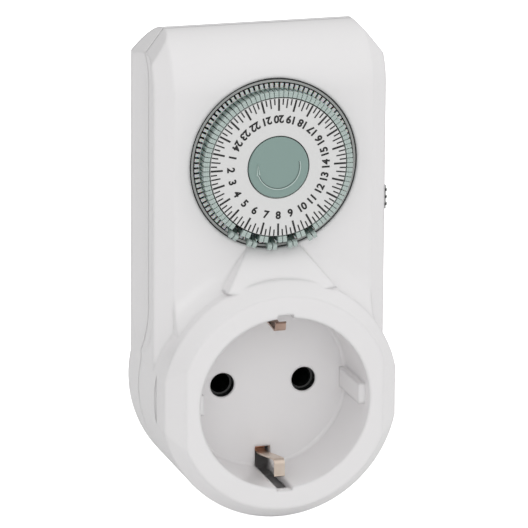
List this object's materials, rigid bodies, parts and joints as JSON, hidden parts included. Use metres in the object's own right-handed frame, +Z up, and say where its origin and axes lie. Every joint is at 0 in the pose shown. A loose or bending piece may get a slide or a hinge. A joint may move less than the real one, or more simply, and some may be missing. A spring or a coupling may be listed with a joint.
{
  "type": "plug-in timer switch",
  "caption": "Plug-in mains timer with a turning day dial ringed by tilting tappets, a side override slide and an earthed round-pin outlet below the dial.",
  "frame": {"origin": "centre of the plug's end face, midway between the two plug pins", "axes": "+Z up along the housing, +X to the right as seen from the front, +Y back along the plug pins; the dial and the outlet face -Y"},
  "size_m": [0.0548, 0.0683, 0.1088],
  "materials": {
    "housing_plastic": "smooth moulded off-white",
    "dial_plastic": "pale grey with black print",
    "cap_plastic": "muted mint green",
    "tappet_plastic": "pale mint, slightly see-through",
    "carrier_plastic": "black",
    "gear_plastic": "natural white",
    "steel": "bright",
    "nickel": "nickel plated",
    "brass": "bright",
    "copper": "bare copper alloy"
  },
  "bodies": {
    "housing": {"front_cover": "housing_plastic", "rear_cover": "housing_plastic", "outlet_floor": "housing_plastic", "mechanism_plate": "steel", "dial_axle": "steel", "first_axle": "steel", "second_axle": "steel", "third_axle": "steel", "lever_axle": "steel", "motor_can": "steel", "housing_screws": "steel", "motor_coil": "copper", "plug_pin_live": "nickel", "plug_pin_neutral": "nickel", "contact_sleeve_live": "brass", "contact_sleeve_neutral": "brass", "neutral_link": "brass", "live_input_strip": "copper", "live_output_strip": "copper", "sleeve_tab": "brass", "earth_clip_upper": "copper", "earth_clip_lower": "copper", "plug_earth_upper": "nickel", "plug_earth_lower": "nickel", "earth_bridge": "copper", "fixed_contact": "copper", "leaf_foot": "copper"},
    "dial": {"dial_face": "dial_plastic", "dial_cap": "cap_plastic", "tappet_carrier": "carrier_plastic", "dial_gear": "gear_plastic", "tappets": "tappet_plastic", "tappet_wire": "steel"},
    "set_tappet_01": {"set_tappet_01": "tappet_plastic"},
    "set_tappet_02": {"set_tappet_02": "tappet_plastic"},
    "set_tappet_03": {"set_tappet_03": "tappet_plastic"},
    "set_tappet_04": {"set_tappet_04": "tappet_plastic"},
    "set_tappet_05": {"set_tappet_05": "tappet_plastic"},
    "set_tappet_06": {"set_tappet_06": "tappet_plastic"},
    "set_tappet_07": {"set_tappet_07": "tappet_plastic"},
    "set_tappet_08": {"set_tappet_08": "tappet_plastic"},
    "set_tappet_09": {"set_tappet_09": "tappet_plastic"},
    "set_tappet_10": {"set_tappet_10": "tappet_plastic"},
    "first_wheel": {"first_wheel": "gear_plastic"},
    "second_wheel": {"second_wheel": "gear_plastic"},
    "third_wheel": {"third_wheel": "gear_plastic"},
    "rotor": {"rotor": "steel"},
    "switch_lever": {"switch_lever": "gear_plastic"},
    "moving_contact": {"moving_contact": "copper"},
    "override_slide": {"override_slide": "housing_plastic"}
  },
  "joints": [
    {"name": "dial_turn", "type": "hinge", "parent": "housing", "child": "dial", "pos_m": [0, -0.039, 0.0524], "axis": [0, 1, 0], "continuous": true},
    {"name": "first_spin", "type": "hinge", "parent": "housing", "child": "first_wheel", "pos_m": [-0.01273, -0.031, 0.03967], "axis": [0, 1, 0], "continuous": true},
    {"name": "second_spin", "type": "hinge", "parent": "housing", "child": "second_wheel", "pos_m": [-0.01373, -0.031, 0.05163], "axis": [0, 1, 0], "continuous": true},
    {"name": "third_spin", "type": "hinge", "parent": "housing", "child": "third_wheel", "pos_m": [-0.00601, -0.031, 0.06082], "axis": [0, 1, 0], "continuous": true},
    {"name": "rotor_spin", "type": "hinge", "parent": "housing", "child": "rotor", "pos_m": [0.004, -0.031, 0.064], "axis": [0, 1, 0], "continuous": true},
    {"name": "tilt_01", "type": "hinge", "parent": "dial", "child": "set_tappet_01", "pos_m": [-0.00984, -0.03825, 0.03866], "axis": [-0.8128, 0, 0.5825], "range_deg": [0, 24]},
    {"name": "tilt_02", "type": "hinge", "parent": "dial", "child": "set_tappet_02", "pos_m": [-0.00892, -0.03825, 0.03805], "axis": [-0.8492, 0, 0.5281], "range_deg": [0, 24]},
    {"name": "tilt_03", "type": "hinge", "parent": "dial", "child": "set_tappet_03", "pos_m": [-0.00595, -0.03825, 0.03658], "axis": [-0.9359, 0, 0.3523], "range_deg": [0, 24]},
    {"name": "tilt_04", "type": "hinge", "parent": "dial", "child": "set_tappet_04", "pos_m": [-0.00491, -0.03825, 0.03623], "axis": [-0.9569, 0, 0.2903], "range_deg": [0, 24]},
    {"name": "tilt_05", "type": "hinge", "parent": "dial", "child": "set_tappet_05", "pos_m": [-0.00166, -0.03825, 0.03558], "axis": [-0.9952, 0, 0.098], "range_deg": [0, 24]},
    {"name": "tilt_06", "type": "hinge", "parent": "dial", "child": "set_tappet_06", "pos_m": [-0.00055, -0.03825, 0.03551], "axis": [-0.9995, 0, 0.0327], "range_deg": [0, 24]},
    {"name": "tilt_07", "type": "hinge", "parent": "dial", "child": "set_tappet_07", "pos_m": [0.00275, -0.03825, 0.03573], "axis": [-0.9866, 0, -0.1629], "range_deg": [0, 24]},
    {"name": "tilt_08", "type": "hinge", "parent": "dial", "child": "set_tappet_08", "pos_m": [0.00384, -0.03825, 0.03594], "axis": [-0.9739, 0, -0.2271], "range_deg": [0, 24]},
    {"name": "tilt_09", "type": "hinge", "parent": "dial", "child": "set_tappet_09", "pos_m": [0.00697, -0.03825, 0.03701], "axis": [-0.9109, 0, -0.4127], "range_deg": [0, 24]},
    {"name": "tilt_10", "type": "hinge", "parent": "dial", "child": "set_tappet_10", "pos_m": [0.00797, -0.03825, 0.0375], "axis": [-0.8819, 0, -0.4714], "range_deg": [0, 24]},
    {"name": "lever_swing", "type": "hinge", "parent": "housing", "child": "switch_lever", "pos_m": [0.0086, -0.035, 0.0346], "axis": [0, 1, 0], "range_deg": [0, 8], "stiffness_Nm_per_rad": 0.002},
    {"name": "contact_close", "type": "hinge", "parent": "housing", "child": "moving_contact", "pos_m": [0.01445, -0.0331, 0.0307], "axis": [0, 0, -1], "range_deg": [0, 3.6]},
    {"name": "override_travel", "type": "slide", "parent": "housing", "child": "override_slide", "axis": [0, 0, 1], "range_m": [-0.0046, 0]}
  ],
  "couplings": [
    {"joint": "first_spin", "follows": "dial_turn", "ratio": -4},
    {"joint": "second_spin", "follows": "dial_turn", "ratio": 12},
    {"joint": "third_spin", "follows": "dial_turn", "ratio": -36},
    {"joint": "rotor_spin", "follows": "dial_turn", "ratio": 90},
    {"joint": "contact_close", "follows": "lever_swing", "ratio": 0.45}
  ]
}
